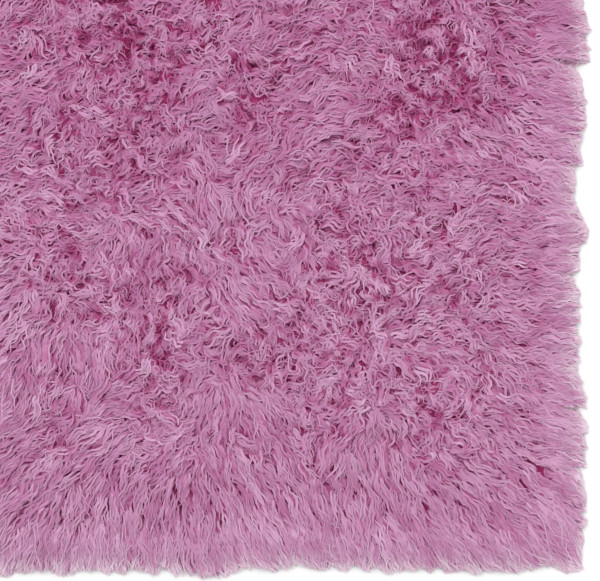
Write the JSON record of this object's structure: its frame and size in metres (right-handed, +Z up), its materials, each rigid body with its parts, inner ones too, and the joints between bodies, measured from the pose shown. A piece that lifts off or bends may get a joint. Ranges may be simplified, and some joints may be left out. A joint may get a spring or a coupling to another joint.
{
  "type": "shag rug",
  "caption": "Small oblong shag rug with a long, tangled orchid-pink wool pile, lying flat with its rim locks spread on the floor.",
  "frame": {"origin": "centre of the rug's underside, at the middle of its outline over the rim locks", "axes": "+X across the rug's shorter side, +Y along its longer side, +Z up from the floor through the pile"},
  "size_m": [0.6114, 0.913, 0.052],
  "materials": {
    "wool_pile": "matte, felted wool yarn"
  },
  "bodies": {
    "root": {"rug": "wool_pile"}
  },
  "joints": []
}
